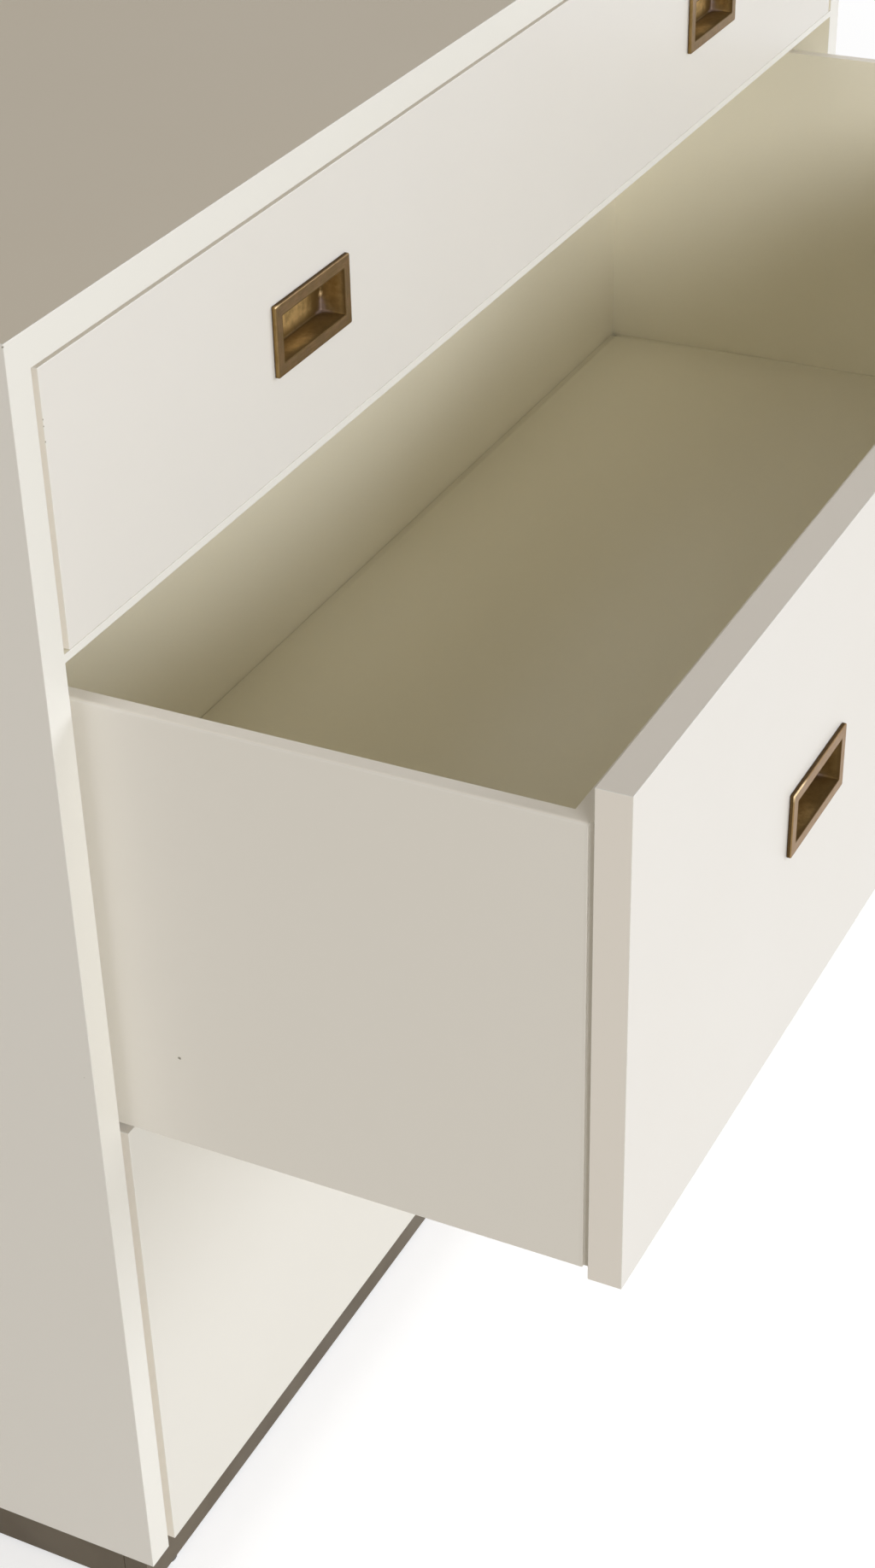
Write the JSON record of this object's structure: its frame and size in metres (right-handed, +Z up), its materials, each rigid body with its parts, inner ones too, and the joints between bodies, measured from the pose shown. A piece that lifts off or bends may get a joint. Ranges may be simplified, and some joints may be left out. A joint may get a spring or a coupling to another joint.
{
  "type": "dresser",
  "caption": "Wide cream lacquered dresser: mitred case on a recessed plinth, inset drawers on hidden runners, recessed brass pulls, middle drawer open.",
  "frame": {"origin": "on the floor, under the middle of the box round the whole dresser with its middle drawer open as stored", "axes": "+X to the right seen from the front, +Y towards the back, +Z up; drawers open along -Y"},
  "size_m": [1.2, 0.8404, 0.907],
  "materials": {
    "lacquer": "satin cream lacquer on the case and drawer faces",
    "box_lacquer": "satin cream paint on the drawer boxes, a little duller than outside",
    "back_board": "thin painted back board",
    "plinth_paint": "brown satin paint",
    "block_wood": "bare pine",
    "aged_brass": "cast brass, aged brown with brighter worn edges",
    "runner_steel": "zinc plated sheet steel",
    "glide_plastic": "dark moulded plastic"
  },
  "bodies": {
    "case": {"back_panel": "back_board", "bottom_drawer_rail_left": "runner_steel", "bottom_drawer_rail_right": "runner_steel", "bottom_panel": "lacquer", "dust_panel": "lacquer", "glide_back_left": "glide_plastic", "glide_back_right": "glide_plastic", "glide_front_left": "glide_plastic", "glide_front_right": "glide_plastic", "middle_drawer_rail_left": "runner_steel", "middle_drawer_rail_right": "runner_steel", "plinth_back": "plinth_paint", "plinth_block_back_left": "block_wood", "plinth_block_back_right": "block_wood", "plinth_block_front_left": "block_wood", "plinth_block_front_right": "block_wood", "plinth_front": "plinth_paint", "plinth_left": "plinth_paint", "plinth_right": "plinth_paint", "side_panel_left": "lacquer", "side_panel_right": "lacquer", "top_drawer_rail_left": "runner_steel", "top_drawer_rail_right": "runner_steel", "top_panel": "lacquer"},
    "top_drawer": {"top_drawer_box_back": "box_lacquer", "top_drawer_box_bottom": "box_lacquer", "top_drawer_box_front": "box_lacquer", "top_drawer_box_side_left": "box_lacquer", "top_drawer_box_side_right": "box_lacquer", "top_drawer_face": "lacquer", "top_drawer_pull_left": "aged_brass", "top_drawer_pull_right": "aged_brass", "top_drawer_slide_left": "runner_steel", "top_drawer_slide_right": "runner_steel"},
    "middle_drawer": {"middle_drawer_box_back": "box_lacquer", "middle_drawer_box_bottom": "box_lacquer", "middle_drawer_box_front": "box_lacquer", "middle_drawer_box_side_left": "box_lacquer", "middle_drawer_box_side_right": "box_lacquer", "middle_drawer_face": "lacquer", "middle_drawer_pull_left": "aged_brass", "middle_drawer_pull_right": "aged_brass", "middle_drawer_slide_left": "runner_steel", "middle_drawer_slide_right": "runner_steel"},
    "bottom_drawer": {"bottom_drawer_box_back": "box_lacquer", "bottom_drawer_box_bottom": "box_lacquer", "bottom_drawer_box_front": "box_lacquer", "bottom_drawer_box_side_left": "box_lacquer", "bottom_drawer_box_side_right": "box_lacquer", "bottom_drawer_face": "lacquer", "bottom_drawer_pull_left": "aged_brass", "bottom_drawer_pull_right": "aged_brass", "bottom_drawer_slide_left": "runner_steel", "bottom_drawer_slide_right": "runner_steel"}
  },
  "joints": [
    {"name": "top_drawer_travel", "type": "slide", "parent": "case", "child": "top_drawer", "axis": [0, -1, 0], "range_m": [0, 0.35]},
    {"name": "middle_drawer_travel", "type": "slide", "parent": "case", "child": "middle_drawer", "axis": [0, -1, 0], "range_m": [-0.3125, 0.0375]},
    {"name": "bottom_drawer_travel", "type": "slide", "parent": "case", "child": "bottom_drawer", "axis": [0, -1, 0], "range_m": [0, 0.35]}
  ]
}
